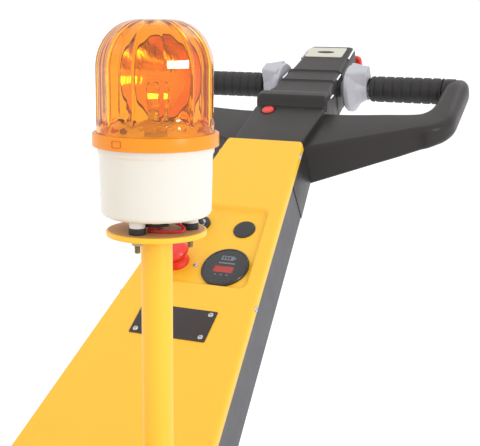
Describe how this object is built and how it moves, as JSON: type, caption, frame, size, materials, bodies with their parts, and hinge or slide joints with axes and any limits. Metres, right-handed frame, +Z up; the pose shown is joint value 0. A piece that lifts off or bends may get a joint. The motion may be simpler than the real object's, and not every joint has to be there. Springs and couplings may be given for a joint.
{
  "type": "electric pallet truck",
  "caption": "Pedestrian electric pallet truck with two forks, steered drive unit, tapered tiller arm with bow handle, and a rotating amber beacon on a post.",
  "frame": {"origin": "on the floor, under the middle of the truck's length and width, tiller at its rest angle", "axes": "+X to the right as seen from the forks' tips, +Y from the forks towards the operator, +Z up"},
  "size_m": [0.72, 2.4498, 1.08],
  "materials": {
    "charcoal_paint": "satin powder coat",
    "yellow_paint": "satin powder coat",
    "black_paint": "satin",
    "bearing_steel": "machined",
    "finned_aluminium": "anodised",
    "zinc": "zinc plated",
    "black_rubber": "matte",
    "ivory_plastic": "gloss",
    "amber_lens": "clear moulded",
    "clear_glass": "clear",
    "wire_insulation": "soft",
    "reflector": "metallised",
    "cast_housing": "painted casting",
    "drive_tread": "polyurethane",
    "caster_rubber": "matte",
    "battery_case": "moulded",
    "red_plastic": "gloss",
    "chrome_rod": "ground and chromed",
    "arm_grey": "satin powder coat",
    "plate_brown": "satin",
    "black_plastic": "satin",
    "head_plastic": "fine grain",
    "label_silver": "brushed label",
    "knob_grey": "fine grain",
    "white_plastic": "gloss"
  },
  "bodies": {
    "chassis": {"chassis_frame": "charcoal_paint", "hood": "yellow_paint", "deck_cover": "charcoal_paint", "bumper_skirt": "charcoal_paint", "slew_ring_outer": "bearing_steel", "hydraulic_unit": "black_paint", "controller": "finned_aluminium", "lift_cylinder": "black_paint", "beacon_post": "yellow_paint", "beacon_studs": "zinc", "beacon_washers": "black_rubber", "beacon_base": "ivory_plastic", "beacon_lens": "amber_lens", "beacon_bulb": "clear_glass", "beacon_motor": "bearing_steel", "beacon_wires": "wire_insulation"},
    "beacon_rotor": {"beacon_reflector": "reflector"},
    "friction_roller": {"beacon_roller": "black_rubber"},
    "drive_unit": {"slew_ring_inner": "bearing_steel", "gearbox": "cast_housing", "drive_motor": "black_paint", "tiller_yoke": "charcoal_paint", "pivot_pin": "zinc"},
    "drive_wheel": {"drive_wheel_hub": "cast_housing", "drive_tyre": "drive_tread"},
    "caster_left": {"caster_fork_left": "zinc"},
    "caster_right": {"caster_fork_right": "zinc"},
    "caster_left_roller": {"caster_wheel_left": "caster_rubber"},
    "caster_right_roller": {"caster_wheel_right": "caster_rubber"},
    "forks": {"fork_frame": "yellow_paint", "battery": "battery_case", "battery_connector": "red_plastic", "fork_pins": "zinc", "cylinder_rod": "chrome_rod"},
    "lid": {"battery_lid": "yellow_paint"},
    "left_rocker": {"rocker_left": "charcoal_paint"},
    "right_rocker": {"rocker_right": "charcoal_paint"},
    "left_load_wheel": {"load_wheel_left": "drive_tread"},
    "right_load_wheel": {"load_wheel_right": "drive_tread"},
    "left_push_rod": {"push_rod_left": "bearing_steel"},
    "right_push_rod": {"push_rod_right": "bearing_steel"},
    "tiller": {"arm_channel": "arm_grey", "arm_cover": "yellow_paint", "arm_screws": "zinc", "name_plate": "plate_brown", "gauge_housing": "black_plastic", "gauge_lens": "clear_glass", "blank_plug": "black_plastic", "key_barrel": "black_plastic", "estop_collar": "red_plastic", "head_shell": "head_plastic", "head_plate": "label_silver", "grip_tube": "zinc", "grips": "black_rubber"},
    "key": {"ignition_key": "black_plastic"},
    "emergency_stop": {"estop_head": "red_plastic"},
    "throttle": {"throttle_knobs": "knob_grey"},
    "belly_switch": {"belly_button": "red_plastic"},
    "horn_switch": {"horn_button": "red_plastic"},
    "lift_switch": {"lift_rocker": "white_plastic"}
  },
  "joints": [
    {"name": "steer", "type": "hinge", "parent": "chassis", "child": "drive_unit", "pos_m": [0, 0.44678, 0.311], "axis": [0, 0, 1], "range_deg": [-90, 90]},
    {"name": "tiller_tilt", "type": "hinge", "parent": "drive_unit", "child": "tiller", "pos_m": [0, 0.39678, 0.505], "axis": [1, 0, 0], "range_deg": [-26, 46]},
    {"name": "drive_wheel_roll", "type": "hinge", "parent": "drive_unit", "child": "drive_wheel", "pos_m": [0, 0.44678, 0.115], "axis": [1, 0, 0], "continuous": true},
    {"name": "caster_left_swivel", "type": "hinge", "parent": "chassis", "child": "caster_left", "pos_m": [-0.26, 0.44678, 0.17], "axis": [0, 0, 1], "continuous": true},
    {"name": "caster_left_roll", "type": "hinge", "parent": "caster_left", "child": "caster_left_roller", "pos_m": [-0.26, 0.41678, 0.05], "axis": [1, 0, 0], "continuous": true},
    {"name": "caster_right_swivel", "type": "hinge", "parent": "chassis", "child": "caster_right", "pos_m": [0.26, 0.44678, 0.17], "axis": [0, 0, 1], "continuous": true},
    {"name": "caster_right_roll", "type": "hinge", "parent": "caster_right", "child": "caster_right_roller", "pos_m": [0.26, 0.41678, 0.05], "axis": [1, 0, 0], "continuous": true},
    {"name": "fork_lift", "type": "slide", "parent": "chassis", "child": "forks", "axis": [0, 0, 1], "range_m": [0, 0.12]},
    {"name": "left_rocker_turn", "type": "hinge", "parent": "forks", "child": "left_rocker", "pos_m": [-0.2, -0.93822, 0.042], "axis": [1, 0, 0], "range_deg": [0, 45.66]},
    {"name": "left_load_wheel_roll", "type": "hinge", "parent": "left_rocker", "child": "left_load_wheel", "pos_m": [-0.2, -1.10814, 0.037], "axis": [1, 0, 0], "continuous": true},
    {"name": "left_push_rod_travel", "type": "slide", "parent": "forks", "child": "left_push_rod", "axis": [0, -1, 0], "range_m": [0, 0.01863]},
    {"name": "right_rocker_turn", "type": "hinge", "parent": "forks", "child": "right_rocker", "pos_m": [0.2, -0.93822, 0.042], "axis": [1, 0, 0], "range_deg": [0, 45.66]},
    {"name": "right_load_wheel_roll", "type": "hinge", "parent": "right_rocker", "child": "right_load_wheel", "pos_m": [0.2, -1.10814, 0.037], "axis": [1, 0, 0], "continuous": true},
    {"name": "right_push_rod_travel", "type": "slide", "parent": "forks", "child": "right_push_rod", "axis": [0, -1, 0], "range_m": [0, 0.01863]},
    {"name": "lid_hinge", "type": "hinge", "parent": "forks", "child": "lid", "pos_m": [0, 0.07078, 0.511], "axis": [-1, 0, 0], "range_deg": [0, 80]},
    {"name": "key_turn", "type": "hinge", "parent": "tiller", "child": "key", "pos_m": [-0.031, 0.78568, 0.81269], "axis": [0, 0.5721, -0.8202], "range_deg": [0, 90]},
    {"name": "emergency_stop_press", "type": "slide", "parent": "tiller", "child": "emergency_stop", "axis": [0, 0.5721, -0.8202], "range_m": [0, 0.006]},
    {"name": "throttle_turn", "type": "hinge", "parent": "tiller", "child": "throttle", "pos_m": [0, 1.12089, 0.9701], "axis": [1, 0, 0], "range_deg": [-35, 35], "stiffness_Nm_per_rad": 0.6},
    {"name": "belly_press", "type": "slide", "parent": "tiller", "child": "belly_switch", "axis": [0, -0.907, -0.421], "range_m": [0, 0.006], "stiffness_N_per_m": 1200},
    {"name": "horn_press", "type": "slide", "parent": "tiller", "child": "horn_switch", "axis": [0, 0.421, -0.907], "range_m": [0, 0.003], "stiffness_N_per_m": 300},
    {"name": "lift_switch_rock", "type": "hinge", "parent": "tiller", "child": "lift_switch", "pos_m": [0, 1.16254, 0.95636], "axis": [1, 0, 0], "range_deg": [-12, 12], "stiffness_Nm_per_rad": 0.03},
    {"name": "beacon_spin", "type": "hinge", "parent": "chassis", "child": "beacon_rotor", "pos_m": [0.172, 0.29178, 0.997], "axis": [0, 0, 1], "continuous": true},
    {"name": "roller_spin", "type": "hinge", "parent": "chassis", "child": "friction_roller", "pos_m": [0.1417, 0.29178, 0.997], "axis": [0, 0, 1], "continuous": true}
  ],
  "couplings": [
    {"joint": "roller_spin", "follows": "beacon_spin", "ratio": -4},
    {"joint": "left_rocker_turn", "follows": "fork_lift", "rad_per_m": 6.639},
    {"joint": "left_push_rod_travel", "follows": "fork_lift", "ratio": 0.15516},
    {"joint": "right_rocker_turn", "follows": "fork_lift", "rad_per_m": 6.639},
    {"joint": "right_push_rod_travel", "follows": "fork_lift", "ratio": 0.15516}
  ]
}
